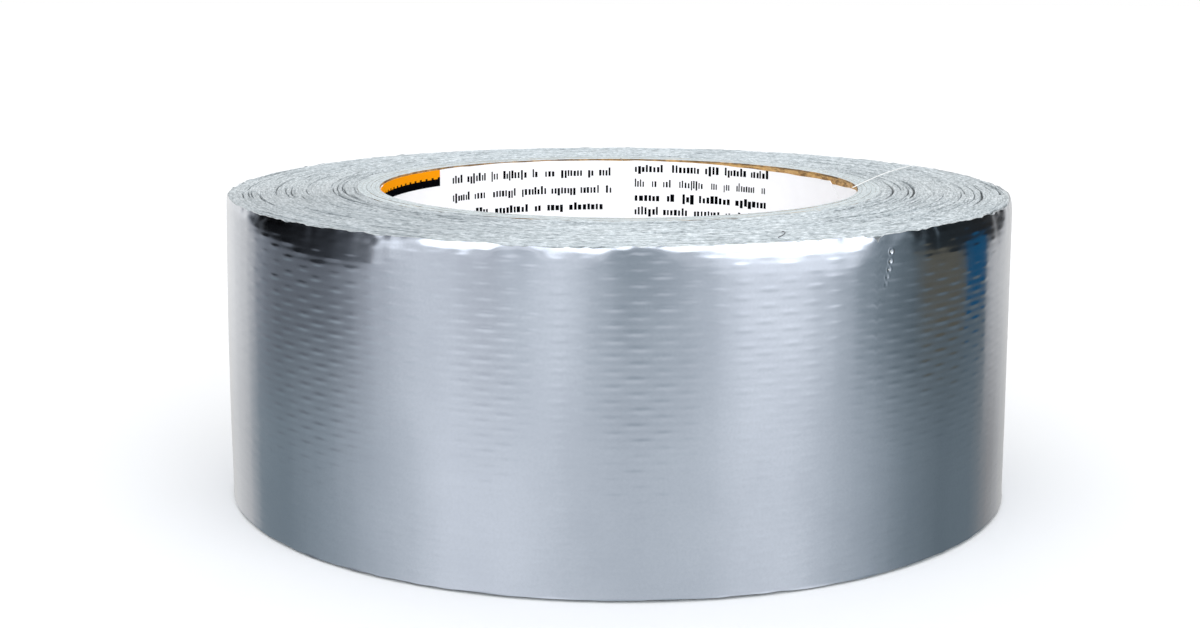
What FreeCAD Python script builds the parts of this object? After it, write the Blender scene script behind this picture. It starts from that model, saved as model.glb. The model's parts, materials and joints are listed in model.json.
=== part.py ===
"""Duct tape roll: a spiral-wound paperboard core with one long strip of cloth tape wound on it.

The roll stands on its end. +Z runs up the roll's axis, and the origin is the centre of its
lower end. Looking down on it, the tape is wound counter-clockwise from the core outwards.

The tape is a three-layer laminate: a plastic film outside, a woven scrim in the middle and
an adhesive inside. All the bonded turns are one solid. The last turn is made layer by layer,
and its free end, the leader, is a chain of short lengths of the same laminate, each hinged
to the one before on the film surface, so that it can peel off and straighten.

All lengths are in millimetres and all angles in degrees.
"""

import FreeCAD, Part
import math
import os

# Roll
TAPE_WIDTH = 48.0
OUTER_RADIUS = 62.3
BORE_RADIUS = 38.1

# Core: a paper liner inside glued plies of paperboard. Each is one strip wound as a helix, and a
# narrow seam is left where its edges meet. The azimuth of a seam is where it meets the upper end.
LINER_THICKNESS = 0.2
PLY_THICKNESS = 0.72
PLY_COUNT = 5
SEAM_LEAD = 170.0
SEAM_GAP = 0.3
LINER_SEAM_AZIMUTH = 21.0
PLY_SEAM_STEP = 67.0
CORE_RADIUS = BORE_RADIUS + LINER_THICKNESS + PLY_COUNT * PLY_THICKNESS

# Tape laminate, from the outer face inwards
FILM_THICKNESS = 0.055
SCRIM_THICKNESS = 0.035
ADHESIVE_THICKNESS = 0.06
TAPE_THICKNESS = FILM_THICKNESS + SCRIM_THICKNESS + ADHESIVE_THICKNESS
TURN_GAP = 0.02
TURN_PITCH = TAPE_THICKNESS + TURN_GAP
LAYERS = (
    ("film", 0.0, FILM_THICKNESS),
    ("scrim", FILM_THICKNESS, FILM_THICKNESS + SCRIM_THICKNESS),
    ("adhesive", FILM_THICKNESS + SCRIM_THICKNESS, TAPE_THICKNESS),
)

# Leader: the last part of the outer turn, from the peel line to the cut end
PEEL_AZIMUTH = -30.0
LEADER_ARC = 90.0
LEADER_SEGMENTS = 10
SEGMENT_ARC = LEADER_ARC / LEADER_SEGMENTS
SEGMENT_GAP = 0.02
END_AZIMUTH = PEEL_AZIMUTH + LEADER_ARC

FULL_TURN = 360.0
LONGEST_ARC = 30.0

PARTS = "parts"


def tape_point(unwound, depth):
    """A point of the tape: unwound is the angle back from the cut end, depth is below the film face."""
    radius = OUTER_RADIUS - TURN_PITCH * unwound / FULL_TURN - depth
    azimuth = math.radians(END_AZIMUTH - unwound)
    return FreeCAD.Vector(radius * math.cos(azimuth), radius * math.sin(azimuth), 0.0)


def spiral_edges(first, last, depth):
    """The spiral from one unwound angle to another, as arcs that each pass through three of its points."""
    count = max(1, math.ceil(abs(last - first) / LONGEST_ARC))
    step = (last - first) / count
    edges = []
    for i in range(count):
        start = first + i * step
        through = [tape_point(start + share * step, depth) for share in (0.0, 0.5, 1.0)]
        edges.append(Part.Arc(*through).toShape())
    return edges


def tape_length(first, last, outer_depth, inner_depth):
    """One layer of the tape between two unwound angles, the full width of the tape."""
    ends = [
        Part.makeLine(tape_point(last, outer_depth), tape_point(last, inner_depth)),
        Part.makeLine(tape_point(first, inner_depth), tape_point(first, outer_depth)),
    ]
    outline = (
        spiral_edges(first, last, outer_depth)
        + ends[:1]
        + spiral_edges(last, first, inner_depth)
        + ends[1:]
    )
    return Part.Face(Part.Wire(outline)).extrude(FreeCAD.Vector(0, 0, TAPE_WIDTH))


def tube(inner, outer):
    """An upright tube on the roll's axis."""
    return Part.makeCylinder(outer, TAPE_WIDTH).cut(Part.makeCylinder(inner, TAPE_WIDTH))


def helical_seam(inner, outer, azimuth):
    """The narrow helical gap where the edges of a wound ply meet, as a cutter for that ply."""
    radial_margin = 0.3
    end_margin = 4.0
    low, high = inner - radial_margin, outer + radial_margin
    half = SEAM_GAP / 2
    corners = [(low, -half), (high, -half), (high, half), (low, half), (low, -half)]
    profile = Part.makePolygon([FreeCAD.Vector(x, 0, z) for x, z in corners])
    path = Part.makeHelix(SEAM_LEAD, TAPE_WIDTH + 2 * end_margin, (inner + outer) / 2)
    cutter = Part.Wire(path.Edges).makePipeShell([profile], True, True)
    cutter.translate(FreeCAD.Vector(0, 0, -end_margin))
    climb = FULL_TURN * (TAPE_WIDTH + end_margin) / SEAM_LEAD
    cutter.rotate(FreeCAD.Vector(), FreeCAD.Vector(0, 0, 1), azimuth - climb)
    return cutter


def core_ply(inner, outer, seam_azimuth):
    """One helically wound ply of the core, with the gap along its seam."""
    return tube(inner, outer).cut(helical_seam(inner, outer, seam_azimuth))


def wound_tape():
    """Every bonded turn under the last one, with the step in the spiral under the cut end."""
    outer = spiral_edges(FULL_TURN, 2 * FULL_TURN, 0.0)
    step = Part.makeLine(tape_point(2 * FULL_TURN, 0.0), tape_point(FULL_TURN, 0.0))
    solid = Part.Face(Part.Wire(outer + [step])).extrude(FreeCAD.Vector(0, 0, TAPE_WIDTH))
    return solid.cut(Part.makeCylinder(CORE_RADIUS, TAPE_WIDTH))


def build_core():
    """The liner and the plies around it."""
    liner_outer = BORE_RADIUS + LINER_THICKNESS
    parts = {"core_liner": core_ply(BORE_RADIUS, liner_outer, LINER_SEAM_AZIMUTH)}
    for i in range(PLY_COUNT):
        inner = liner_outer + i * PLY_THICKNESS
        azimuth = LINER_SEAM_AZIMUTH + (i + 1) * PLY_SEAM_STEP
        parts[f"core_ply_{i + 1}"] = core_ply(inner, inner + PLY_THICKNESS, azimuth)
    return parts


def build_outer_turn():
    """The stuck part of the last turn, layer by layer, up to the peel line."""
    return {
        f"outer_turn_{layer}": tape_length(LEADER_ARC, FULL_TURN, top, bottom)
        for layer, top, bottom in LAYERS
    }


def build_leader():
    """The leader's hinged lengths. Number 1 is at the peel line and the last one has the cut end."""
    clearance = math.degrees(SEGMENT_GAP / OUTER_RADIUS)
    parts = {}
    for i in range(LEADER_SEGMENTS):
        first = LEADER_ARC - (i + 1) * SEGMENT_ARC
        last = LEADER_ARC - i * SEGMENT_ARC - clearance
        for layer, top, bottom in LAYERS:
            parts[f"leader_{layer}_{i + 1:02d}"] = tape_length(first, last, top, bottom)
    return parts


def main():
    os.makedirs(PARTS, exist_ok=True)
    parts = {"wound_tape": wound_tape()}
    parts.update(build_core())
    parts.update(build_outer_turn())
    parts.update(build_leader())
    for name, shape in parts.items():
        solid = shape.Solids[0] if len(shape.Solids) == 1 else shape
        if not solid.isValid() or solid.Volume <= 0:
            raise ValueError(f"{name} is not a valid solid")
        solid.exportStep(f"{PARTS}/{name}.step")
        print(name, len(shape.Solids), round(solid.Volume, 2))


main()
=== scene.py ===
import json
import math

import bpy
import numpy as np
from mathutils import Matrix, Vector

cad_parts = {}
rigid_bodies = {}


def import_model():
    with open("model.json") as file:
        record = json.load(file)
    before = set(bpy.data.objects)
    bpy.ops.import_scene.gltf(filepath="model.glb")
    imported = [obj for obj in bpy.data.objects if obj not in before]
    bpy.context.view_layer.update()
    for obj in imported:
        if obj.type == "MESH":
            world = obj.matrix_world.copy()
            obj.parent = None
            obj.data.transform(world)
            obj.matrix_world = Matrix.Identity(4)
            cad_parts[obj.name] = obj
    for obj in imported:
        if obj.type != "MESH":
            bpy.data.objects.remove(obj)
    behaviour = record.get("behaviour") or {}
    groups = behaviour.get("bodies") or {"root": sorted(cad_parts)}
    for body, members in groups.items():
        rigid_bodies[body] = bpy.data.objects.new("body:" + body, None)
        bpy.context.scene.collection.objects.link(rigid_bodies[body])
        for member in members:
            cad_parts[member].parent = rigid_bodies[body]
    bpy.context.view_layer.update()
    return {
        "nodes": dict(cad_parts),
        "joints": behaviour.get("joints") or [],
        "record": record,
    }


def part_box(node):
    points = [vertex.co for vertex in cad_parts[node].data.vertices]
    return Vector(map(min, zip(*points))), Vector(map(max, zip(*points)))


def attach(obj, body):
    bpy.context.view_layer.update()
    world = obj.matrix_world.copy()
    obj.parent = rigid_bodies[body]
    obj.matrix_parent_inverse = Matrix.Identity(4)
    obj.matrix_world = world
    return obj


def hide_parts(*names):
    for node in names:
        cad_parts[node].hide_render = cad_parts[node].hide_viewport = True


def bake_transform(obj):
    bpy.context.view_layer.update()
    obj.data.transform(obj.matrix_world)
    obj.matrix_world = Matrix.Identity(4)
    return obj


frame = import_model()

# The looks of a roll of duct tape: silver film with the weave of its scrim showing through, ends
# that show every turn, a kraft core with a printed paper liner, and a free end that peels off.
#
# Shapes are worked out in millimetres and degrees in the frame's own axes, as numpy arrays, and
# become metres when a mesh is made. "unwound" is the angle back along the tape from its cut end.

MM = 0.001
FULL_TURN = 360.0

# ---------------------------------------------------------------- sizes and places from the frame


def frame_radius(node):
    """The largest distance of a CAD node from the axis, in mm."""
    low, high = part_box(node)
    return max(abs(side) for corner in (low, high) for side in corner[:2]) / MM


JOINTS = frame["joints"]
HINGES = [(math.degrees(math.atan2(j["pos_m"][1], j["pos_m"][0])), math.hypot(*j["pos_m"][:2]) / MM)
          for j in JOINTS]
ROLL = JOINTS[0]["parent"]
LEADERS = [j["child"] for j in JOINTS]
BORE = next(m["dims"] for m in frame["record"]["mounts"] if m["name"] == "core_bore")

BORE_RADIUS = BORE["r_mm"]
HEIGHT = BORE["length_mm"]
PLY_COUNT = sum(name.startswith("core_ply") for name in frame["nodes"])
LINER_RADIUS = frame_radius("core_liner")
CORE_RADIUS = frame_radius(f"core_ply_{PLY_COUNT}")

PEEL_AZIMUTH, PEEL_RADIUS = HINGES[0]
SEGMENT_ARC = HINGES[1][0] - PEEL_AZIMUTH
LEADER_ARC = SEGMENT_ARC * len(HINGES)
END_AZIMUTH = PEEL_AZIMUTH + LEADER_ARC
TURN_PITCH = (HINGES[-1][1] - PEEL_RADIUS) / (HINGES[-1][0] - PEEL_AZIMUTH) * FULL_TURN
OUTER_RADIUS = PEEL_RADIUS + TURN_PITCH * LEADER_ARC / FULL_TURN

# ---------------------------------------------------------------- sizes of the finish, in mm

FILM_THICKNESS = 0.055
TAPE_THICKNESS = 0.15

WARP_PITCH = 1.05          # between the yarns that run along the tape
WEFT_PITCH = 3.43          # between the yarns that run across it
RELIEF = 0.031             # depth of the weave in the film
FILM_PROUD = 0.012         # how far the highest yarns lift the film over its nominal face
BACK_RELIEF = 0.03         # depth of the weave in the adhesive
COLUMN_STEP = 0.4          # mesh spacing along the tape
ROW_STEP = 0.15            # mesh spacing across the tape

TURN_COUNT = 136
RING_COUNT = 7             # the bonded turns are drawn as this many rings
TURN_SAMPLES = 3           # mesh lines per turn in the upper ends
END_COLUMNS = 900
SLACK_AZIMUTH = -138.0     # about where the turns are least even, and where painted shade darkens their ends

CORE_PROUD = 0.45          # the core and the first turns stand this far above the nominal end
END_CURVE = 1.4            # power of the fall from there to the nominal end at the outer turns
FLARE = 0.45               # the outermost turns spread this far at the lower end
FOOT_BURR = 0.8            # height of the film's lower edge that the slitting knife has turned out
SEAM_LEAD = 170.0          # rise of the core's seams in one turn
SEAM_GAP = 0.3
SEAM_AZIMUTH = 21.0        # of the liner's seam at the upper end
PLY_SEAM_STEP = 67.0

# ---------------------------------------------------------------- noise


def noise(u, v, seed, period=0):
    """Smooth noise in -1..1 with one random value per unit of u and v. It repeats after period in u."""
    size = 512
    table = np.random.default_rng(seed).uniform(-1, 1, (size, size))
    u, v = np.broadcast_arrays(np.asarray(u, float), np.asarray(v, float))
    wrap = period or size
    column, row = np.floor(u).astype(int), np.floor(v).astype(int)
    du, dv = u - column, v - row
    du, dv = du * du * (3 - 2 * du), dv * dv * (3 - 2 * dv)
    left, right = column % wrap, (column + 1) % wrap
    low, high = row % size, (row + 1) % size
    lower = table[left, low] * (1 - du) + table[right, low] * du
    upper = table[left, high] * (1 - du) + table[right, high] * du
    return lower * (1 - dv) + upper * dv


def around(azimuth, v, cell, seed):
    """Noise that closes on itself round the roll. cell is its size in degrees."""
    return noise(np.asarray(azimuth) / cell, v, seed, round(FULL_TURN / cell))


def ramp(x):
    """Smooth step from 0 at 0 to 1 at 1."""
    t = np.clip(x, 0, 1)
    return t * t * (3 - 2 * t)


# ---------------------------------------------------------------- the shape of the roll

# Inward lean of the outer turns at the upper rim, by azimuth
LEANS = (
    (-180, 0.2), (-154, 0.2), (-146, 0.4), (-132, 0.72), (-126, 0.66), (-120, 0.5), (-115, 0.34),
    (-108, 0.3), (-104.5, 0.1), (-101.5, 0.1), (-98.5, 0.3), (-93.5, 0.28), (-90.5, 0.08),
    (-86.5, 0.08), (-82, 0.3), (-74, 0.5), (-62, 0.65), (-56, 0.35), (-48, 0.55), (-36, 0.85),
    (-27, 0.8), (-20, 0.3), (0, 0.2), (40, 0.25), (75, 0.6), (110, 0.35), (140, 0.6), (160, 0.25),
    (180, 0.2),
)
# Dents in the film that run down from the rim: azimuth, half width in degrees, depth and length
DENTS = (
    (-103.2, 2.4, 0.03, 9), (-88.8, 3.6, 0.03, 11), (-121, 1.6, 0.06, 5), (-72, 1.8, 0.04, 4),
    (-134, 1.2, 0.05, 4), (-45.5, 1.3, 0.1, 7), (-20, 2.5, 0.06, 7), (35, 3, 0.07, 8),
    (88, 3.5, 0.08, 10), (132, 2.5, 0.07, 9), (171, 3, 0.06, 8),
)
# The pin pricks in the film, from the top one down: azimuth and height
DIMPLES = ((-54.3, 45.6), (-54.4, 44.3), (-54.6, 43.2), (-54.9, 42.2), (-55.1, 41.2))
DIMPLE_RADIUS = 0.34
DIMPLE_DEPTH = 0.1
DIMPLE_FADE = 0.18         # share of its depth that a prick loses per mm under the top one
NICK = (-56.5, 0.45, 0.8)  # azimuth, half width in degrees, and depth of the tear in the film's edge


def hump(azimuth, centre, reach):
    """Smooth bump, 1 at a centre azimuth and 0 from reach degrees either side of it."""
    off = np.mod(np.asarray(azimuth) - centre + 180, FULL_TURN) - 180
    return ramp(1 - np.abs(off) / reach)


def spiral_radius(unwound):
    """Nominal radius of the film's face."""
    return OUTER_RADIUS - TURN_PITCH * unwound / FULL_TURN


def profile(azimuth, stops):
    """Value between the stops nearest to an azimuth in -180..180, without corners."""
    azimuth = np.mod(np.asarray(azimuth) + 180, FULL_TURN) - 180
    places, values = np.array(stops).T
    left = np.clip(np.searchsorted(places, azimuth, side="right") - 1, 0, len(places) - 2)
    share = ramp((azimuth - places[left]) / (places[left + 1] - places[left]))
    return values[left] * (1 - share) + values[left + 1] * share


def rim_lean(azimuth, z):
    """How far the outer turns lean inwards near the upper end, with their crumples and dents there
    and the burr at the lower edge."""
    depth = profile(azimuth, LEANS) + 0.03 * around(azimuth, 0, 9, 11)
    below = HEIGHT - z
    lean = depth * np.clip(1 - below / (10 * depth), 0, 1) ** 2.6
    crumple = 0.06 * around(azimuth, below / 2.5, 3, 14) * np.clip(1 - below / 4, 0, 1) ** 2
    crumple = crumple + 0.05 * around(azimuth, below / 1.2, 1.5, 15) * np.clip(1 - below / 1.6, 0, 1)
    for centre, reach, sink, length in DENTS:
        fade = np.clip(1 - below / length, 0, 1) ** 1.5
        crumple = crumple + sink * hump(azimuth, centre, reach) * fade
    burr = (0.09 + 0.06 * around(azimuth, 0, 3, 16)) * np.clip(1 - z / FOOT_BURR, 0, 1) ** 2
    return lean + crumple - burr


def swell(azimuth, z):
    """Broad unevenness of the whole outer surface, and its spread towards the lower end."""
    share = z / HEIGHT
    barrel = 0.22 * hump(azimuth, -168, 60) * np.sin(np.pi * np.clip(share, 0, 1))
    folds = 0.03 * around(azimuth, z / 21, 15, 31) + 0.012 * around(azimuth, z / 7, 5, 32)
    return FLARE * (1 - share) + barrel + folds


def tape_surface(unwound, z, depth):
    """Radius of the tape at a depth under its film face."""
    azimuth = END_AZIMUTH - unwound
    return spiral_radius(unwound) - depth - rim_lean(azimuth, z) + swell(azimuth, z)


def dimple_depth(azimuth, z):
    """A row of pin pricks pressed into the film."""
    total = 0
    for centre, height in DIMPLES:
        across = np.radians(azimuth - centre) * OUTER_RADIUS
        away = np.sqrt(across**2 + (z - height) ** 2) / DIMPLE_RADIUS
        fade = 1 - DIMPLE_FADE * (DIMPLES[0][1] - height)
        rim = 0.35 * ramp(1 - np.abs(away - 1.3) / 0.5)
        total = total + fade * DIMPLE_DEPTH * (ramp(1 - away) - rim)
    return total


def weave(unwound, z, even=False):
    """Height of the scrim under the film, 0 to 1.3: rows of warp yarn that rise over every other
    weft. The film shows it best near the upper end and in one patch, and the adhesive evenly."""
    along = np.radians(unwound) * OUTER_RADIUS
    row = z / WARP_PITCH + 0.18 * noise(along / 30, z / 9, 41)
    index = np.round(row)
    column = along / WEFT_PITCH + 0.15 * noise(along / 25, z / 12, 42)
    column = column + 0.16 * noise(index * 3.7, along / 9, 45)
    ridge = 0.5 + 0.5 * np.cos(2 * np.pi * (row - index))
    over = np.clip(np.cos(np.pi * (column + index)), 0, 1) ** 1.2
    yarn = 0.85 + 0.35 * noise(index * 7.3, along / 16, 43)
    weft = 0.5 + 0.5 * np.cos(2 * np.pi * column)
    patch = 0.85 + 0.35 * noise(along / 12, z / 7, 44)
    patch = patch + 0.6 * hump(END_AZIMUTH - unwound, SLACK_AZIMUTH, 17)
    spread = 1 if even else 0.38 + 0.62 * ramp((z - 18) / 25)
    height = spread * ridge * yarn * (0.15 + 0.85 * over) + 0.08 * weft**4
    return np.clip(height * patch, 0, 1.6) / 1.2


def end_height(turn, azimuth):
    """Height of the cut ends of the turns over the nominal end. turn counts out from the core."""
    seed = 51
    share = turn / TURN_COUNT
    index = np.round(turn)
    broad = CORE_PROUD * (1 - share**END_CURVE)
    groups = 0.08 * around(azimuth, turn / 7, 40, seed)
    groups = groups + 0.05 * around(azimuth, turn / 2.6, 18, seed + 1)
    single = 0.05 * around(azimuth, index, 10, seed + 2)
    ragged = 0.05 * around(azimuth, turn / 4, 2, seed + 3)
    ragged = ragged + 0.04 * around(azimuth, turn / 1.5, 1, seed + 5)
    slack = 0.55 * hump(azimuth, -158, 50) * ramp(1 - np.abs(turn - 20) / 26)
    slack = slack + 0.3 * hump(azimuth, -12, 30) * ramp(1 - np.abs(turn - 22) / 28)
    gap = 0.45 * ramp((around(azimuth, np.round(turn / 2), 40, seed + 4) + slack - 0.8) / 0.12)
    split = 0.3 * ramp((around(azimuth, index, 24, seed + 6) - 0.74) / 0.12)
    return broad + groups + single + ragged - gap - split


def foot_height(turn, azimuth):
    """Height of the turns' lower ends over the floor. The outermost are a little short."""
    out = (turn / TURN_COUNT) ** 6
    ragged = 0.1 * around(azimuth, turn / 3, 2, 61) + 0.06 * around(azimuth, turn / 3, 9, 62)
    return 0.09 + 0.3 * out + ragged * (0.3 + 0.7 * out)


def film_edge(azimuth):
    """Height of the film's upper edge: the ends of the last turns, its own crumples and a tear."""
    torn = NICK[2] * np.clip(1 - np.abs(azimuth - NICK[0]) / NICK[1], 0, 1)
    rough = 0.06 * around(azimuth, 0, 1.5, 71) + 0.05 * around(azimuth, 0, 4, 72)
    rough = rough + 0.09 * around(azimuth, 0, 0.75, 74)
    rough = rough - 0.14 * ramp((around(azimuth, 0, 2, 73) - 0.6) / 0.3)
    return HEIGHT + end_height(TURN_COUNT, azimuth) + rough - torn


# ---------------------------------------------------------------- meshes


def polar(radius, azimuth, z):
    """Points in mm from cylindrical coordinates."""
    angle = np.radians(azimuth)
    radius, angle, z = np.broadcast_arrays(radius, angle, z)
    return np.stack([radius * np.cos(angle), radius * np.sin(angle), z], -1)


def make_piece(name, points, faces, material, smooth_angle=40):
    """A mesh object from points in mm and lists of faces."""
    mesh = bpy.data.meshes.new(name)
    mesh.from_pydata((points.reshape(-1, 3) * MM).tolist(), [], faces)
    mesh.validate()
    mesh.shade_smooth()
    mesh.set_sharp_from_angle(angle=math.radians(smooth_angle))
    mesh.materials.append(material)
    piece = bpy.data.objects.new(name, mesh)
    bpy.context.scene.collection.objects.link(piece)
    return piece


def quads(index, flip=False):
    """Quads of a grid of point numbers, facing along (first axis) x (second axis)."""
    a, b, c, d = index[:-1, :-1], index[1:, :-1], index[1:, 1:], index[:-1, 1:]
    corners = (d, c, b, a) if flip else (a, b, c, d)
    return np.stack(corners, -1).reshape(-1, 4).tolist()


def tube_faces(columns, count):
    """Faces of a closed tube. Its points are columns rings of count points, and each end is flat."""
    index = np.arange(columns * count).reshape(columns, count)
    ends = [index[0].tolist(), index[-1, ::-1].tolist()]
    return quads(np.concatenate([index, index[:, :1]], 1)) + ends


def join_sides(sides):
    """The radius and the z of a whole section from those of its sides, in order."""
    return [np.concatenate(values, 1) for values in zip(*sides)]


def strip_solid(name, outer, inner, material):
    """A closed length of tape layer. outer and inner are grids of points, first along and then up,
    with the same columns but not always the same rows."""
    columns, outer_rows = outer.shape[:2]
    inner_rows = inner.shape[1]
    front = np.arange(columns * outer_rows).reshape(columns, outer_rows)
    back = front.size + np.arange(columns * inner_rows).reshape(columns, inner_rows)
    faces = quads(front) + quads(back, flip=True)
    faces += quads(np.stack([front[:, -1], back[:, -1]], 1))
    faces += quads(np.stack([front[:, 0], back[:, 0]], 1), flip=True)
    first = front[0].tolist() + back[0, ::-1].tolist()
    last = front[-1].tolist() + back[-1, ::-1].tolist()
    faces += [first, last[::-1]]
    points = np.concatenate([outer.reshape(-1, 3), inner.reshape(-1, 3)])
    return make_piece(name, points, faces, material)


def tape_length(name, start, end, layer, material, outer_relief=0.0, inner_relief=0.0, pinch=0.0):
    """One layer of the tape from one unwound angle to a smaller one, as a closed solid.
    layer is its outer and inner depth. A relief is the depth of the weave in that face. pinch
    thins the layer from its inner face, by up to 0.35 of pinch, past the middle of its length."""
    columns = max(2, round(math.radians(start - end) * OUTER_RADIUS / COLUMN_STEP)) + 1
    unwound = np.linspace(start, end, columns)
    if outer_relief:
        margin = 0.7
        fine = END_AZIMUTH - np.arange(DIMPLES[-1][0] - margin, DIMPLES[0][0] + margin, 0.1)
        unwound = np.sort(np.append(unwound, fine[(fine < start) & (fine > end)]))[::-1]
    unwound = unwound[:, None]
    count = round(HEIGHT / ROW_STEP)
    azimuth = END_AZIMUTH - unwound
    low = foot_height(TURN_COUNT, azimuth)
    high = film_edge(azimuth)

    def face(depth, relief):
        """Points of one face, and the height of the yarns there. A relief under 0 is that of an
        inner face. A face without relief has close rows only near its ends, where it curves."""
        rows = np.arange(count + 1)
        if not relief:
            below = count - rows
            near_edge = (below < 30) & (rows % 2 == 0)
            near_rim = (below < 96) & (rows % 6 == 0)
            rows = rows[near_edge | near_rim | (rows % 20 == 0) | (rows < 8)]
        share = rows[None, :] / count
        z = low * (1 - share) + high * share
        yarns = weave(unwound, z, even=relief < 0)
        sunk = relief * (1 - yarns)
        if outer_relief:
            sunk = sunk + dimple_depth(azimuth, z)
        return polar(tape_surface(unwound, z, depth + sunk), azimuth, z), yarns

    outer, _ = face(layer[0] - (FILM_PROUD if outer_relief else 0), outer_relief)
    passed = (start - unwound) / (start - end)
    pinched = pinch * passed**2 * (1 - passed) * (3 - passed)
    inner, yarns = face(layer[1] - pinched, -inner_relief)
    piece = strip_solid(name, outer, inner, material)
    if inner_relief:
        shown = np.concatenate([np.zeros(outer[..., 0].size), yarns.ravel()])
        piece.data.attributes.new("yarn", "FLOAT", "POINT").data.foreach_set("value", shown)
    return piece


def ring_solid(name, radius, z, material):
    """A closed ring. radius and z hold its section, anticlockwise in (radius, z), at each azimuth."""
    columns, count = radius.shape
    azimuth = np.arange(columns)[:, None] * FULL_TURN / columns
    index = np.arange(columns * count).reshape(columns, count)
    index = np.concatenate([index, index[:1]])
    index = np.concatenate([index, index[:, :1]], 1)
    return make_piece(name, polar(radius, azimuth, z), quads(index), material, smooth_angle=60)


def seamed_tube(name, radius, z, seam_azimuth, wall_material, end_material=None):
    """A strip wound into a tube, open along its helical seam. radius and z hold its section,
    anticlockwise in (radius, z), at each step round the tube. Faces that look up or down get the
    end material."""
    columns, count = radius.shape
    gap = math.degrees(SEAM_GAP / radius.mean())
    share = np.linspace(0, 1, columns)[:, None]
    azimuth = seam_place(seam_azimuth, z) + gap / 2 + share * (FULL_TURN - gap)
    points = polar(radius, azimuth, z)
    piece = make_piece(name, points, tube_faces(columns, count), wall_material, smooth_angle=30)
    if end_material:
        piece.data.materials.append(end_material)
        flat = [int(abs(face.normal.z) > 0.7) for face in piece.data.polygons]
        piece.data.polygons.foreach_set("material_index", flat)
    return piece


def seam_place(seam_azimuth, z):
    """Azimuth of a seam at a height, from its azimuth at the upper end."""
    return seam_azimuth - FULL_TURN * (HEIGHT - z) / SEAM_LEAD


def thread(path, radius, sides=8):
    """Points and faces of a closed round thread along a path."""
    path = np.asarray(path, float)
    ahead = np.gradient(path, axis=0)
    ahead /= np.linalg.norm(ahead, axis=1)[:, None]
    side = np.cross(ahead, (0.3, 0.2, 1.0))
    side /= np.linalg.norm(side, axis=1)[:, None]
    up = np.cross(side, ahead)
    turn = np.arange(sides) * 2 * np.pi / sides
    rim = side[:, None] * np.cos(turn)[:, None] + up[:, None] * np.sin(turn)[:, None]
    points = path[:, None] + radius * rim
    return points.reshape(-1, 3), tube_faces(len(path), sides)


def curved_plate(start, end, low, high, inner, outer):
    """Points and faces of a thin plate bent round the axis."""
    longest_step = 1.5
    columns = max(2, math.ceil((end - start) / longest_step) + 1)
    azimuth = np.linspace(start, end, columns)[:, None]
    radius = np.array([inner, outer, outer, inner])
    z = np.array([low, low, high, high])
    return polar(radius, azimuth, z).reshape(-1, 3), tube_faces(columns, len(z))


def make_joined(name, shapes, material):
    """One mesh from many (points, faces)."""
    faces = []
    used = 0
    for points, its_faces in shapes:
        faces += [[used + i for i in face] for face in its_faces]
        used += len(points)
    return make_piece(name, np.concatenate([points for points, _ in shapes]), faces, material)


# ---------------------------------------------------------------- materials


class Graph:
    """Short ways to add and join shader nodes."""

    def __init__(self, tree):
        self.tree = tree
        tree.nodes.clear()

    def add(self, kind, inputs=None, **settings):
        node = self.tree.nodes.new("ShaderNode" + kind)
        for key, value in settings.items():
            setattr(node, key, value)
        for key, value in (inputs or {}).items():
            self.put(node.inputs[key], value)
        return node

    def put(self, socket, value):
        if isinstance(value, bpy.types.Node):
            value = value.outputs[0]
        if isinstance(value, bpy.types.NodeSocket):
            self.tree.links.new(value, socket)
        else:
            socket.default_value = value

    def math(self, operation, *values):
        node = self.add("Math", operation=operation)
        for socket, value in zip(node.inputs, values):
            self.put(socket, value)
        return node.outputs[0]

    def mix(self, factor, first, second, blend="MIX"):
        return self.add("MixRGB", {0: factor, 1: first, 2: second}, blend_type=blend).outputs[0]

    def noise(self, vector, scale, detail=3.0, roughness=0.5):
        inputs = {"Vector": vector, "Scale": scale, "Detail": detail, "Roughness": roughness}
        return self.add("TexNoise", inputs).outputs[0]

    def span(self, value, low, high, to_low=0.0, to_high=1.0, smooth=False):
        kind = "SMOOTHSTEP" if smooth else "LINEAR"
        inputs = {0: value, 1: low, 2: high, 3: to_low, 4: to_high}
        return self.add("MapRange", inputs, interpolation_type=kind).outputs[0]

    def ramp(self, value, stops):
        node = self.add("ValToRGB", {0: value})
        elements = node.color_ramp.elements
        while len(elements) < len(stops):
            elements.new(0.5)
        for element, (position, color) in zip(elements, sorted(stops)):
            element.position = position
            element.color = (*color, 1.0)
        return node.outputs[0]

    def bump(self, height, strength, distance):
        inputs = {"Height": height, "Strength": strength, "Distance": distance * MM}
        return self.add("Bump", inputs).outputs[0]


def new_material(name, build):
    """A material whose surface is a Principled shader with the inputs that build(graph) returns."""
    material = bpy.data.materials.new(name)
    material.use_nodes = True
    graph = Graph(material.node_tree)
    shader = graph.add("BsdfPrincipled", build(graph))
    graph.add("OutputMaterial", {"Surface": shader})
    return material


def place(graph, x=1.0, y=1.0, z=1.0):
    """The object coordinate in mm, stretched."""
    vector = graph.add("TexCoord").outputs["Object"]
    scale = (x / MM, y / MM, z / MM)
    return graph.add("Mapping", {"Vector": vector, "Scale": scale}).outputs[0]


def cylinder_axes(graph):
    """Direction cosines of the azimuth, the radius in mm and the height in mm, as sockets."""
    axes = graph.add("SeparateXYZ", {0: place(graph)}).outputs
    squares = [graph.math("MULTIPLY", axis, axis) for axis in axes[:2]]
    radius = graph.math("SQRT", graph.math("ADD", *squares))
    return [graph.math("DIVIDE", axis, radius) for axis in axes[:2]] + [radius, axes[2]]


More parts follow.
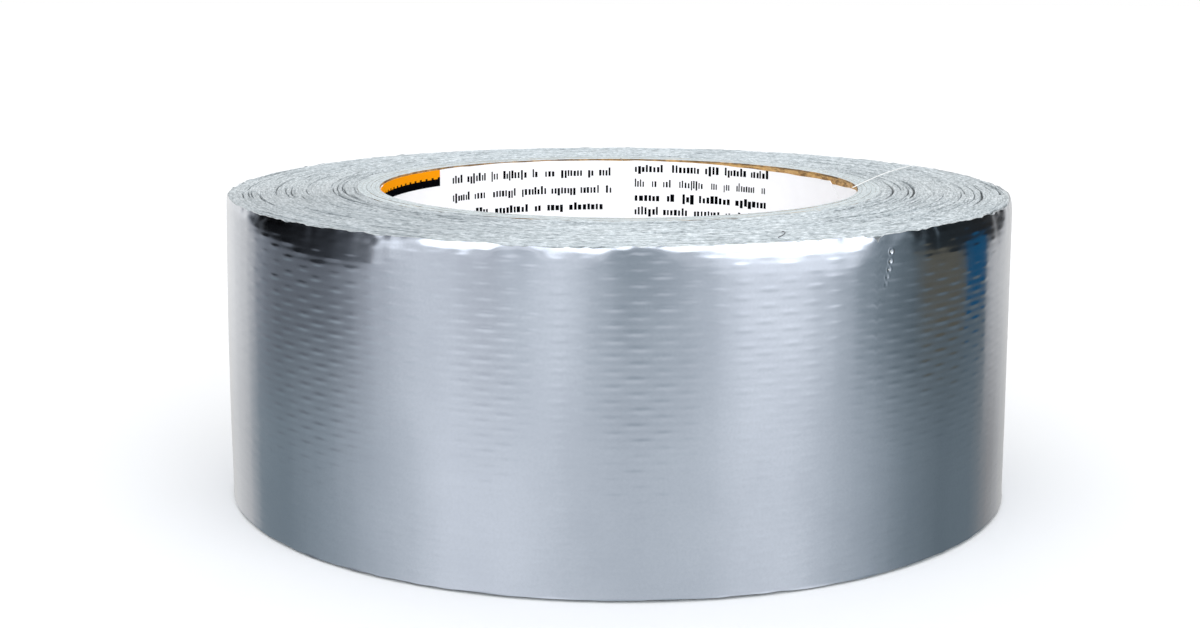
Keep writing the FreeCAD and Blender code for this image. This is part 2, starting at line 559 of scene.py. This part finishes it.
def ring_place(graph, turn_scale, radius_scale, z_scale=0.0):
    """Coordinates for noise that closes on itself round the roll. turn_scale is cells per radian,
    and the others are cells per mm."""
    cosine, sine, radius, z = cylinder_axes(graph)
    lift = graph.math("ADD", graph.math("MULTIPLY", radius, radius_scale),
                      graph.math("MULTIPLY", z, z_scale))
    return graph.add("CombineXYZ", {
        0: graph.math("MULTIPLY", cosine, turn_scale),
        1: graph.math("MULTIPLY", sine, turn_scale),
        2: lift,
    }).outputs[0]


def film_look(g):
    """Polyethylene film filled with aluminium pigment: glossy grey, a little cloudy."""
    cloud = g.noise(place(g), 0.09, 4)
    grain = g.noise(place(g), 3.0, 2)
    tone = g.mix(g.span(cloud, 0.3, 0.7), (0.63, 0.655, 0.72, 1), (0.69, 0.715, 0.78, 1))
    tone = g.mix(g.span(grain, 0.35, 0.65, 0, 0.2), tone, (0.55, 0.58, 0.64, 1))
    streaks = g.noise(ring_place(g, 2.0, 0, 0.8), 1.0, 3)
    rough = g.span(g.mix(0.5, cloud, streaks), 0.35, 0.65, 0.10, 0.17)
    return {"Base Color": tone, "Metallic": 1.0, "Roughness": rough,
            "Normal": g.bump(grain, 0.12, 0.01)}


def turn_ends_look(g):
    """The cut edges of the turns: pale adhesive and yarn between darker edges of the film. Painted
    shade darkens the gaps and the ends towards SLACK_AZIMUTH, where the turns are least even, and a
    painted highlight makes the outermost edge paler."""
    cosine, sine, radius, height = cylinder_axes(g)
    pitch = (OUTER_RADIUS - CORE_RADIUS) / TURN_COUNT
    turn = g.math("DIVIDE", g.math("SUBTRACT", radius, CORE_RADIUS), pitch)
    edge = g.math("PINGPONG", turn, 0.5)
    bands = g.noise(ring_place(g, 2.2, 1.1), 1.0, 4, 0.6)
    lines = g.noise(ring_place(g, 7.0, 4.6), 1.0, 4, 0.7)
    flecks = g.noise(ring_place(g, 52.0, 3.2), 1.0, 3, 0.65)
    tone = g.mix(g.span(bands, 0.35, 0.65), (0.39, 0.43, 0.445, 1), (0.50, 0.54, 0.555, 1))
    tone = g.mix(g.span(lines, 0.53, 0.68, 0, 0.5), tone, (0.70, 0.74, 0.76, 1))
    tone = g.mix(g.span(lines, 0.46, 0.30, 0, 0.9), tone, (0.10, 0.12, 0.13, 1))
    tone = g.mix(g.span(edge, 0.2, 0.0, 0, 0.3), tone, (0.25, 0.28, 0.30, 1))
    tone = g.mix(g.span(flecks, 0.52, 0.64, 0, 0.55), tone, (0.84, 0.87, 0.89, 1))
    tone = g.mix(g.span(flecks, 0.47, 0.35, 0, 0.65), tone, (0.13, 0.15, 0.16, 1))
    # Painted shade: where the upper end lies well under its nominal level, in the gaps between turns,
    # the tone turns nearly black.
    share = g.span(radius, CORE_RADIUS, OUTER_RADIUS)
    fall = g.math("MULTIPLY", CORE_PROUD, g.math("POWER", share, END_CURVE))
    level = g.math("SUBTRACT", HEIGHT + CORE_PROUD, fall)
    sunk = g.span(g.math("SUBTRACT", height, level), -0.12, -0.4, 0, 0.85)
    upper = g.math("GREATER_THAN", height, HEIGHT / 2)
    tone = g.mix(g.math("MULTIPLY", sunk, upper), tone, (0.05, 0.06, 0.065, 1))
    # Painted shade: the ends get darker towards SLACK_AZIMUTH.
    angle = math.radians(SLACK_AZIMUTH)
    along = g.math("MULTIPLY", cosine, math.cos(angle))
    across = g.math("MULTIPLY", sine, math.sin(angle))
    slack = g.span(g.math("ADD", along, across), 0.72, 0.94, 0, 0.32)
    tone = g.mix(slack, tone, (0.17, 0.19, 0.205, 1))
    # Painted highlight: the last half millimetre of the ends at the outer rim is paler.
    last = g.span(radius, OUTER_RADIUS - 0.5, OUTER_RADIUS - 0.1, 0, 0.4)
    tone = g.mix(last, tone, (0.85, 0.88, 0.92, 1))
    return {"Base Color": tone, "Roughness": 0.45, "Specular IOR Level": 0.5,
            "Normal": g.bump(flecks, 0.6, 0.1)}


def adhesive_look(g):
    """Tacky grey rubber adhesive, paler over the yarns of the scrim."""
    patch = g.noise(place(g), 0.25, 4)
    yarn = g.add("Attribute", attribute_name="yarn").outputs["Fac"]
    tone = g.mix(g.span(patch, 0.3, 0.7), (0.36, 0.38, 0.385, 1), (0.46, 0.48, 0.48, 1))
    tone = g.mix(g.span(yarn, 0.05, 0.6, 0, 0.8), tone, (0.74, 0.75, 0.74, 1))
    return {"Base Color": tone, "Roughness": g.span(patch, 0.3, 0.7, 0.38, 0.55), "Coat Weight": 0.1,
            "Normal": g.bump(g.noise(place(g), 6.0, 3), 0.25, 0.02)}


def yarn_look(g):
    """Undyed cotton and polyester yarn."""
    fibre = g.noise(place(g), 12.0, 3)
    tone = g.mix(g.span(fibre, 0.3, 0.7), (0.80, 0.80, 0.77, 1), (0.92, 0.91, 0.89, 1))
    return {"Base Color": tone, "Roughness": 0.8, "Sheen Weight": 0.3}


def lint_look(g):
    """A dark grey fibre."""
    fibre = g.noise(place(g), 9.0, 2)
    tone = g.mix(fibre, (0.03, 0.03, 0.035, 1), (0.10, 0.10, 0.11, 1))
    return {"Base Color": tone, "Roughness": 0.7}


def kraft_look(g):
    """Brown kraft paperboard with short fibres, darker where it is torn, with painted shade in patches
    just under its upper edge.
    """
    fibre = g.noise(ring_place(g, 60, 2, 5), 1.0, 5, 0.7)
    patch = g.noise(place(g), 0.3, 3)
    tone = g.mix(g.span(fibre, 0.3, 0.7), (0.38, 0.20, 0.06, 1), (0.66, 0.41, 0.15, 1))
    tone = g.mix(g.span(patch, 0.4, 0.7, 0, 0.3), tone, (0.68, 0.46, 0.24, 1))
    torn = g.noise(ring_place(g, 16.0, 0, 1.6), 1.0, 4, 0.7)
    tone = g.mix(g.span(torn, 0.47, 0.6, 0, 0.8), tone, (0.13, 0.065, 0.02, 1))
    # Painted shade: patches of the wall just under the core's upper edge are dark.
    height = cylinder_axes(g)[3]
    edge = g.span(height, HEIGHT + CORE_PROUD - 0.42, HEIGHT + CORE_PROUD - 0.22)
    shade_patches = g.span(g.noise(ring_place(g, 6.0, 0), 1.0, 4, 0.7), 0.42, 0.55, 0.1, 0.9)
    tone = g.mix(g.math("MULTIPLY", edge, shade_patches), tone, (0.09, 0.055, 0.025, 1))
    return {"Base Color": tone, "Roughness": 0.85, "Normal": g.bump(fibre, 0.5, 0.05)}


def core_end_look(g):
    """The knife-cut end of the core, burnished and dusted pale by the slitting."""
    ply = g.noise(ring_place(g, 2.0, 1.6), 1.0, 4, 0.6)
    fleck = g.noise(ring_place(g, 60.0, 3.0), 1.0, 3, 0.7)
    tone = g.mix(g.span(ply, 0.35, 0.65), (0.40, 0.445, 0.455, 1), (0.50, 0.545, 0.555, 1))
    tone = g.mix(g.span(fleck, 0.52, 0.66, 0, 0.5), tone, (0.72, 0.75, 0.76, 1))
    tone = g.mix(g.span(fleck, 0.47, 0.35, 0, 0.6), tone, (0.20, 0.21, 0.21, 1))
    return {"Base Color": tone, "Roughness": 0.7, "Normal": g.bump(fleck, 0.2, 0.03)}


def liner_look(g):
    """Smooth coated white paper."""
    patch = g.noise(place(g), 0.4, 3)
    tone = g.mix(g.span(patch, 0.3, 0.7), (0.95, 0.935, 0.94, 1), (0.98, 0.965, 0.97, 1))
    return {"Base Color": tone, "Roughness": 0.4,
            "Normal": g.bump(g.noise(place(g), 4.0, 3), 0.1, 0.02)}


def ink_look(color):
    """Flat printing ink, slightly worn."""

    def look(g):
        patch = g.noise(place(g), 3.0, 2)
        worn = tuple(c + 0.003 for c in color) + (1,)
        tone = g.mix(g.span(patch, 0.4, 0.7), (*color, 1), worn)
        return {"Base Color": tone, "Roughness": 0.5, "Specular IOR Level": 0.0}

    return look


FILM = new_material("tape_film", film_look)
TURN_ENDS = new_material("turn_ends", turn_ends_look)
ADHESIVE = new_material("tape_adhesive", adhesive_look)
YARN = new_material("scrim_yarn", yarn_look)
KRAFT = new_material("core_kraft", kraft_look)
CORE_END = new_material("core_end", core_end_look)
LINER = new_material("liner_paper", liner_look)
LINT = new_material("dark_lint", lint_look)
BLACK_INK = new_material("black_ink", ink_look((0.001, 0.001, 0.002)))
AMBER_INK = new_material("amber_ink", ink_look((0.93, 0.32, 0.004)))

# ---------------------------------------------------------------- the tape

FILM_LAYER = (0.0, FILM_THICKNESS)
BACKING_LAYER = (FILM_THICKNESS, TAPE_THICKNESS)
STEP_COVER = 1.5           # degrees over which the block's step under the peel line is eased
HINGE_PLACES = [LEADER_ARC - i * SEGMENT_ARC for i in range(len(LEADERS))]
OUTER_LENGTHS = 3          # the stuck film is this many pieces
SMOOTH_QUARTER = 0.3264    # how far along a smooth step a quarter of it is done
HINGE_PINCH = 0.172        # thinning of the backing before the second hinge, as in tape_length


def on_roll(piece, slot, *nodes):
    """Fixes a piece to the roll and hides the nodes that it stands for. slot is not used."""
    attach(piece, ROLL)
    if nodes:
        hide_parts(*nodes)


def outer_turn():
    """The stuck part of the last turn: its film in equal lengths, and one backing."""
    cuts = np.linspace(FULL_TURN, LEADER_ARC, OUTER_LENGTHS + 1)
    for i in range(OUTER_LENGTHS):
        name = f"outer_turn_film_{i + 1}"
        film = tape_length(name, cuts[i], cuts[i + 1], FILM_LAYER, FILM, RELIEF)
        on_roll(film, "tape_film", "outer_turn_film")
    backing = tape_length("outer_turn_backing", FULL_TURN, LEADER_ARC, BACKING_LAYER, ADHESIVE)
    on_roll(backing, "tape_adhesive", "outer_turn_scrim", "outer_turn_adhesive")


def turn_under_leader():
    """The tape of the turn below, which shows when the leader is peeled off."""
    start = FULL_TURN + LEADER_ARC + STEP_COVER
    film = tape_length("second_turn_film", start, FULL_TURN, FILM_LAYER, FILM, RELIEF)
    on_roll(film, "tape_film")
    backing = tape_length("second_turn_backing", start, FULL_TURN, BACKING_LAYER, ADHESIVE)
    on_roll(backing, "tape_adhesive")


def leader():
    """The free end, as lengths of film and backing that mostly run from the middle of one segment
    to the middle of the next. Just before the second hinge the backing is thinner, where bending
    the tape over that hinge presses it towards the roll."""
    middles = [hinge - SEGMENT_ARC / 2 for hinge in HINGE_PLACES]
    lengths = [
        (0, HINGE_PLACES[0], middles[0], (HINGE_PLACES[0], middles[0])),
        (1, middles[0], HINGE_PLACES[1], (middles[0], middles[1])),
        (1, HINGE_PLACES[1], middles[1], even_bend(1)),
    ]
    lengths += [(i, middles[i - 1], middles[i], even_bend(i)) for i in range(2, len(LEADERS) - 1)]
    lengths += [(len(LEADERS) - 1, middles[-2], 0.0, even_bend(-1))]
    for number, (hinge, start, end, bend) in enumerate(lengths, 1):
        film = tape_length(f"leader_film_{number:02d}", start, end, FILM_LAYER, FILM, RELIEF)
        backing = tape_length(f"leader_backing_{number:02d}", start, end, BACKING_LAYER, ADHESIVE,
                              inner_relief=BACK_RELIEF, pinch=HINGE_PINCH if number == 2 else 0.0)
        for piece, slot, layers in ((film, "tape_film", ["film"]),
                                    (backing, "tape_adhesive", ["scrim", "adhesive"])):
            bend_over(piece, bend)
            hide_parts(*[f"leader_{layer}_{hinge + 1:02d}" for layer in layers])


def even_bend(hinge):
    """The places between which a bend at a hinge is spread, so that a quarter of it is done at the
    middle of the segment before and three quarters at the middle of the segment after."""
    reach = SEGMENT_ARC / 4 / (0.5 - SMOOTH_QUARTER)
    return HINGE_PLACES[hinge] + reach, HINGE_PLACES[hinge] - reach


def bend_over(piece, bend):
    """Bakes a piece's transform into its mesh. It works out the two places on the tape between which a
    bend is spread, but uses them for nothing, so the piece follows no body.
    """
    tape_place(bend[0])
    tape_place(bend[1])
    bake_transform(piece)


def frayed_end():
    """The tips of the warp yarns that stick out of the cut end, rooted in the backing."""
    rng = np.random.default_rng(81)
    shapes = []
    depth = (FILM_THICKNESS + TAPE_THICKNESS) / 2
    root = 0.3
    for row in range(1, int(HEIGHT / WARP_PITCH)):
        reach = rng.uniform(0.2, 1.3)
        droop = rng.normal(0, 0.18, 2)
        share = np.linspace(0, 1, 6)
        unwound = root - share * (root + math.degrees(reach / OUTER_RADIUS))
        z = row * WARP_PITCH + droop[0] * share**2
        radius = OUTER_RADIUS + swell(END_AZIMUTH, z) - rim_lean(END_AZIMUTH, z) - depth
        radius = radius + (abs(droop[1]) + 0.05) * share**2
        shapes.append(thread(polar(radius, END_AZIMUTH - unwound, z), 0.045, 6))
    fray = make_joined("frayed_yarn", shapes, YARN)
    bend_over(fray, even_bend(-1))


def tape_place(unwound):
    """A point of the tape at mid height, in metres."""
    return tuple(polar(spiral_radius(unwound), END_AZIMUTH - unwound, HEIGHT / 2) * MM)


def block_radius(azimuth):
    """Outline of the bonded turns under the lowest drawn strip, with its step eased."""
    unwound = (END_AZIMUTH - azimuth - LEADER_ARC) % FULL_TURN + LEADER_ARC
    eased = ramp((LEADER_ARC + STEP_COVER - unwound) / STEP_COVER)
    return spiral_radius(unwound + eased * FULL_TURN) - TAPE_THICKNESS


def bonded_turns():
    """The wound block as closed rings of turns, each turn with its own ridge in the upper end."""
    azimuth = np.arange(END_COLUMNS)[:, None] * FULL_TURN / END_COLUMNS
    outline = block_radius(azimuth)
    edges = np.round(np.linspace(0, TURN_COUNT, RING_COUNT + 1)).astype(int)
    heights = np.array([0.02, 0.05, 0.2, 0.5, 0.75, 0.85, 0.9, 0.93, 0.96, 0.98, 0.99])[None, :]

    def radius_at(turn, z):
        lean = rim_lean(azimuth, z) - swell(azimuth, z)
        return CORE_RADIUS + (outline - lean - CORE_RADIUS) * turn / TURN_COUNT

    groove_depth = 0.04
    for i in range(RING_COUNT):
        first, last = edges[i], edges[i + 1]
        upper = np.linspace(first, last, (last - first) * TURN_SAMPLES + 1)[None, :]
        lower = np.arange(first, last + 1)[None, :]
        groove = groove_depth * (np.mod(np.arange(upper.size), TURN_SAMPLES) == 0)
        top_z = HEIGHT + end_height(upper, azimuth) - groove
        low_z = foot_height(lower, azimuth)
        outer_z = low_z[:, -1:] * (1 - heights) + top_z[:, -1:] * heights
        inner_z = low_z[:, :1] * (1 - heights) + top_z[:, :1] * heights
        radius, z = join_sides([
            (radius_at(lower, FOOT_BURR), low_z),
            (radius_at(last, outer_z), outer_z),
            (radius_at(upper, HEIGHT)[:, ::-1], top_z[:, ::-1]),
            (radius_at(first, inner_z)[:, ::-1], inner_z[:, ::-1]),
        ])
        ring = ring_solid(f"wound_turns_{i + 1}", radius, z, TURN_ENDS)
        on_roll(ring, "tape_film", "wound_tape")


def loose_fibres():
    """A strand of yarn and a dark fibre that lie on the upper end."""
    share = np.linspace(0, 1, 40)[:, None]
    start, end = np.array((37.2, -5.0, 0.0)), np.array((53.6, 30.5, 0.0))
    path = start * (1 - share) + end * share
    path[:, 1:2] += 0.5 * np.sin(np.pi * share) + 0.15 * np.sin(9 * share)
    path[:, 2:] = HEIGHT + CORE_PROUD + 0.22 + 0.35 * np.sin(np.pi * share) ** 2 - 0.15 * share
    on_roll(make_joined("loose_strand", [thread(path, 0.08)], YARN), "tape_scrim")
    share = np.linspace(0, 1, 16)[:, None]
    path = np.concatenate([
        20.6 + 1.6 * share + 0.5 * np.sin(5 * share),
        -55.0 + 5.2 * share,
        HEIGHT + 0.2 + 0.3 * np.sin(np.pi * share),
    ], 1)
    on_roll(make_joined("dark_fibre", [thread(path, 0.06)], LINT), "tape_scrim")


outer_turn()
turn_under_leader()
leader()
frayed_end()
bonded_turns()
loose_fibres()

# ---------------------------------------------------------------- the core

CORE_COLUMNS = 240
WALL_HEIGHTS = np.linspace(0, 1, 50)[None, 1:-1]
INK_PLATE = (BORE_RADIUS - 0.02, BORE_RADIUS + 0.1)    # inner and outer radius of the ink
PANEL_START = 144.0        # azimuth where the black panel and the amber band begin
TOOTH_PITCH = 2.6          # of the teeth between them, in degrees
TOOTH_GAP = 0.9
TOOTH_COUNT = 16


def core_plies():
    """The kraft plies, each with its open seam, a cut upper end and a slightly worn inner edge."""
    thickness = (CORE_RADIUS - LINER_RADIUS) / PLY_COUNT
    for i in range(PLY_COUNT):
        inner = LINER_RADIUS + i * thickness
        outer = inner + thickness
        seam = SEAM_AZIMUTH + (i + 1) * PLY_SEAM_STEP
        azimuth = seam + np.linspace(0, FULL_TURN, CORE_COLUMNS)[:, None]
        across = np.array([0.02, 0.1, 0.3, 0.5, 0.7, 0.9, 0.98])[None, :]
        level = 0.025 * around(azimuth, 0, 30, 91 + i)
        rough = 0.02 * around(azimuth, across * 4 + 5 * i, 1.5, 96)
        rounding = 0.03 * (2 * np.abs(across - 0.5)) ** 6
        if i == 0:
            rounding = rounding + 0.12 * (1 - across) ** 8
        top_z = HEIGHT + CORE_PROUD + level + rough - rounding
        low_z = 0.04 + 0.03 * around(azimuth, 0, 25, 101 + i) + 0 * across
        outer_z = low_z[:, -1:] * (1 - WALL_HEIGHTS) + top_z[:, -1:] * WALL_HEIGHTS
        inner_z = low_z[:, :1] * (1 - WALL_HEIGHTS) + top_z[:, :1] * WALL_HEIGHTS
        span = inner + (outer - inner) * across
        radius, z = join_sides([
            (span + 0 * azimuth, low_z),
            (outer + 0 * outer_z, outer_z),
            (span[:, ::-1] + 0 * azimuth, top_z[:, ::-1]),
            (inner + 0 * inner_z, inner_z[:, ::-1]),
        ])
        ply = seamed_tube(f"kraft_ply_{i + 1}", radius, z, seam, KRAFT, CORE_END)
        on_roll(ply, "core_kraft", f"core_ply_{i + 1}")


def liner_top(share):
    """How far the liner's upper edge sits under the core's end, from one side of its seam round
    to the other."""
    azimuth = SEAM_AZIMUTH + share * FULL_TURN
    setback = 0.42 + 0.08 * around(azimuth, 0, 24, 111) + 0.06 * around(azimuth, 0, 4, 112)
    setback = setback + 0.5 * ramp((share - 0.85) / 0.15) + 0.7 * hump(azimuth, 35, 45)
    return setback - 0.15 * hump(azimuth, 110, 40)


def core_liner():
    """The white paper strip inside the bore."""
    share = np.linspace(0, 1, CORE_COLUMNS)[:, None]
    top = HEIGHT + CORE_PROUD - liner_top(share)
    low = 0.1 + 0.05 * around(SEAM_AZIMUTH + share * FULL_TURN, 0, 30, 113)
    wall = low * (1 - WALL_HEIGHTS) + top * WALL_HEIGHTS
    outer = LINER_RADIUS - 0.01
    bulge = 0.02 + 0.02 * around(SEAM_AZIMUTH + share * FULL_TURN, wall / 12, 18, 114)
    radius, z = join_sides([
        (BORE_RADIUS + 0 * low, low),
        (outer + 0 * low, low),
        (outer + 0 * wall, wall),
        (outer + 0 * top, top),
        (BORE_RADIUS + 0 * top, top),
        (BORE_RADIUS + bulge[:, ::-1], wall[:, ::-1]),
    ])
    on_roll(seamed_tube("paper_liner", radius, z, SEAM_AZIMUTH, LINER), "liner_paper", "core_liner")


def printed_rows(start, end, heights, weights, seed):
    """Rows of plain upright ticks in groups, where the liner has small print. Azimuth falls along
    a row, since a row is read from inside the bore."""
    rng = np.random.default_rng(seed)
    plates = []
    for height, weight in zip(heights, weights):
        azimuth = start
        while azimuth > end + 1.5:
            group = rng.integers(2, 10)
            for _ in range(group):
                width = rng.uniform(0.4, 0.75) * weight
                low = height - 0.55 - (0.35 if rng.random() < 0.12 else 0)
                high = height + rng.uniform(0.35, 0.55) + (0.4 if rng.random() < 0.25 else 0)
                if azimuth < end:
                    break
                plates.append(curved_plate(azimuth - width, azimuth, low, high, *INK_PLATE))
                azimuth -= width + rng.uniform(0.28, 0.5)
            azimuth -= rng.uniform(1.0, 2.2)
    return plates


def printing():
    """Generic marks on the liner: two blocks of ticks, and a black panel with an amber band."""
    left_rows = ((45.9, 42.75, 39.7, 36.6, 33.5), (0.9, 0.9, 1.35, 0.9, 0.9))
    right_rows = ((46.6, 43.9, 41.3, 38.8, 36.3, 33.8), (1.1, 0.7, 1.5, 1.1, 0.8, 0.8))
    ticks = printed_rows(139.1, 91.0, *left_rows, 121) + printed_rows(84.9, 43.5, *right_rows, 122)
    on_roll(make_joined("liner_small_print", ticks, BLACK_INK), "liner_paper")
    edge = HEIGHT + CORE_PROUD - 0.55
    root, tip = edge - 1.05, edge - 1.35
    black = [curved_plate(PANEL_START, 186.0, edge - 2.6, tip, *INK_PLATE)]
    amber = [curved_plate(PANEL_START, 190.0, root, edge + 0.18, *INK_PLATE)]
    for i in range(TOOTH_COUNT):
        start = PANEL_START + i * TOOTH_PITCH
        amber.append(curved_plate(start + TOOTH_GAP, start + TOOTH_PITCH, tip, root, *INK_PLATE))
        black.append(curved_plate(start, start + TOOTH_GAP, tip, root, *INK_PLATE))
    on_roll(make_joined("liner_black_panel", black, BLACK_INK), "liner_paper")
    on_roll(make_joined("liner_amber_band", amber, AMBER_INK), "liner_paper")


core_plies()
core_liner()
printing()

# ---------------------------------------------------------------- camera and studio

CAMERA_PLACE = (-3.111, -294.2, 84.545)
CAMERA_DOWN = 11.06        # degrees under the horizon
CAMERA_ROLL = -0.19
LENS = 54.84
SENSOR_WIDTH = 36.0
FLOOR_SIZE = 6000.0


def add_camera():
    """The camera at the photograph's viewing angle."""
    data = bpy.data.cameras.new("camera")
    data.lens = LENS
    data.sensor_width = SENSOR_WIDTH
    data.clip_start = 0.01
    camera = bpy.data.objects.new("camera", data)
    camera.location = [c * MM for c in CAMERA_PLACE]
    camera.rotation_euler = (math.radians(90 - CAMERA_DOWN), math.radians(CAMERA_ROLL), 0.0)
    bpy.context.scene.collection.objects.link(camera)
    bpy.context.scene.camera = camera


# Brightness that the roll's side mirrors at each azimuth: the far part of the table, just under
# the horizon, its near part, the room just above the horizon, and the room higher up.
FAR_TABLE = (
    (-180, 0.17), (-170, 0.28), (-162, 0.50), (-148, 0.76), (-138, 0.76), (-126, 0.58), (-118, 0.66),
    (-107, 0.90), (-96, 0.55), (-88, 0.38), (-78, 0.46), (-64, 0.68), (-56, 0.95), (-40, 0.95),
    (-28, 0.60), (-20, 0.36), (-10, 0.22), (0, 0.13), (38.5, 0.13), (41, 0.5), (60, 0.65), (90, 0.75),
    (120, 0.85), (137, 0.65), (147, 0.28), (158, 0.16), (180, 0.17),
)
NEAR_TABLE = (
    (-180, 0.40), (-164, 0.58), (-150, 0.72), (-138, 0.90), (-120, 0.88), (-104, 0.74), (-86, 0.69),
    (-68, 0.70), (-56, 0.80), (-42, 0.82), (-28, 0.62), (-16, 0.48), (-2, 0.29), (14, 0.20),
    (32, 0.21), (46, 0.31), (60, 0.50), (90, 0.62), (120, 0.72), (134, 0.60), (144, 0.29), (160, 0.28),
    (180, 0.40),
)
LOW_ROOM = (
    (-180, 0.04), (-172, 0.09), (-165, 0.14), (-161, 0.75), (-150, 0.8), (-130, 0.75), (-116, 1.0),
    (-104, 0.9), (-88, 0.42), (-70, 0.7), (-56, 1.12), (-30, 1.12), (-20, 0.38), (-8, 0.24), (1, 0.14),
    (5, 0.03), (44, 0.02), (49, 0.45), (60, 0.8), (90, 1.0), (138, 0.9), (143, 0.3), (148, 0.0),
    (168, 0.01), (180, 0.04),
)
HIGH_ROOM = (
    (-180, 0.03), (-172, 0.08), (-165, 0.13), (-161, 1.2), (-148, 1.5), (-144, 2.2), (-118, 2.2),
    (-106, 2.0), (-88, 1.8), (-70, 2.0), (-58, 2.6), (-27, 2.6), (-20, 0.6), (-10, 0.42), (0, 0.3),
    (5, 0.02), (47, 0.01), (52, 0.6), (90, 1.0), (138, 0.9), (143, 0.3), (148, 0.0), (168, 0.0),
    (180, 0.03),
)

# Sines of elevation between which one part of the surroundings turns into the next
TABLE_CHANGE = (-0.165, -0.25)
HORIZON = (-0.12, -0.05)
ROOM_CHANGE = (0.06, 0.18)
OVERHEAD = (0.5, 0.75)


def turn_share(azimuth):
    """An azimuth as a share of a turn, 0 to 1 from -180 to 180."""
    return (azimuth + FULL_TURN / 2) / FULL_TURN


def glow_color(azimuth, glow, neutral_left):
    """Dim parts of the room are bluer, less so to the left, and the part behind the roll is neutral."""
    dim = max(1 - glow, 0) ** 2
    if 40 < azimuth < 140:
        return glow, glow, glow * 0.985
    less_red = 0.06 if neutral_left and abs(azimuth) > 120 else 0.25
    return glow * (0.955 - less_red * dim), glow, glow * (1.045 + 0.1 * dim)


def glow_ramp(g, turn, stops, neutral_left=True):
    """Colours round the horizon."""
    return g.ramp(turn, [
        (turn_share(azimuth), glow_color(azimuth, glow, neutral_left)) for azimuth, glow in stops
    ])


def card(g, light, turn, height, azimuths, heights, color):
    """Something that stands in the room, over a range of azimuth and of the sine of elevation."""
    left, right = [turn_share(azimuth) for azimuth in azimuths]
    low, high = heights
    blur, rise = 0.005, 0.01
    mask = g.span(turn, left - blur, left + blur)
    for value, outside, inside in ((turn, right + blur, right - blur),
                                   (height, low - rise, low + rise),
                                   (height, high + rise, high - rise)):
        mask = g.math("MULTIPLY", mask, g.span(value, outside, inside))
    return g.mix(mask, light, (*color, 1))


def studio_world():
    """White to the camera. The roll mirrors a pale table under the horizon, a room above it that
    is bright in front and behind and dark at the sides, two dim cards at the right, and a soft
    light overhead."""
    world = bpy.data.worlds.new("studio")
    bpy.context.scene.world = world
    world.use_nodes = True
    g = Graph(world.node_tree)
    axes = g.add("SeparateXYZ", {0: g.add("TexCoord").outputs["Generated"]}).outputs
    height = axes[2]
    turn = g.math("ADD", g.math("DIVIDE", g.math("ARCTAN2", axes[1], axes[0]), 2 * math.pi), 0.5)
    table = g.mix(g.span(height, *TABLE_CHANGE), glow_ramp(g, turn, FAR_TABLE),
                  glow_ramp(g, turn, NEAR_TABLE, neutral_left=False))
    falloff = g.span(height, -0.15, -0.55, 1.06, 0.88)
    table = g.mix(1.0, table, g.add("CombineXYZ", {i: falloff for i in range(3)}), "MULTIPLY")
    room = g.mix(g.span(height, *ROOM_CHANGE), glow_ramp(g, turn, LOW_ROOM),
                 glow_ramp(g, turn, HIGH_ROOM))
    light = g.mix(g.span(height, *HORIZON, smooth=True), table, room)
    light = card(g, light, turn, height, (3, 24), (-0.178, -0.06), (0.12, 0.115, 0.09))
    light = card(g, light, turn, height, (25, 38), (-0.172, -0.03), (0.01, 0.085, 0.18))
    light = g.mix(g.span(height, *OVERHEAD, smooth=True), light, (1.65, 1.66, 1.68, 1))
    is_camera = g.add("LightPath").outputs["Is Camera Ray"]
    color = g.mix(is_camera, light, (1, 1, 1, 1))
    g.add("OutputWorld", {"Surface": g.add("Background", {0: color})})


def add_floor():
    """A plain pale floor that stays white in the soft light, except in the roll's soft shadow. The
    roll mirrors the world's table instead of it."""
    far = FLOOR_SIZE / 2
    corners = np.array([(-far, -far, 0), (far, -far, 0), (far, far, 0), (-far, far, 0)])
    material = bpy.data.materials.new("floor")
    material.use_nodes = True
    g = Graph(material.node_tree)
    g.add("OutputMaterial", {"Surface": g.add("BsdfDiffuse", {"Color": (0.78, 0.78, 0.78, 1)})})
    floor = make_piece("floor", corners, [[0, 1, 2, 3]], material)
    floor.visible_glossy = False


add_camera()
studio_world()
add_floor()
bpy.context.scene.view_settings.view_transform = "Standard"
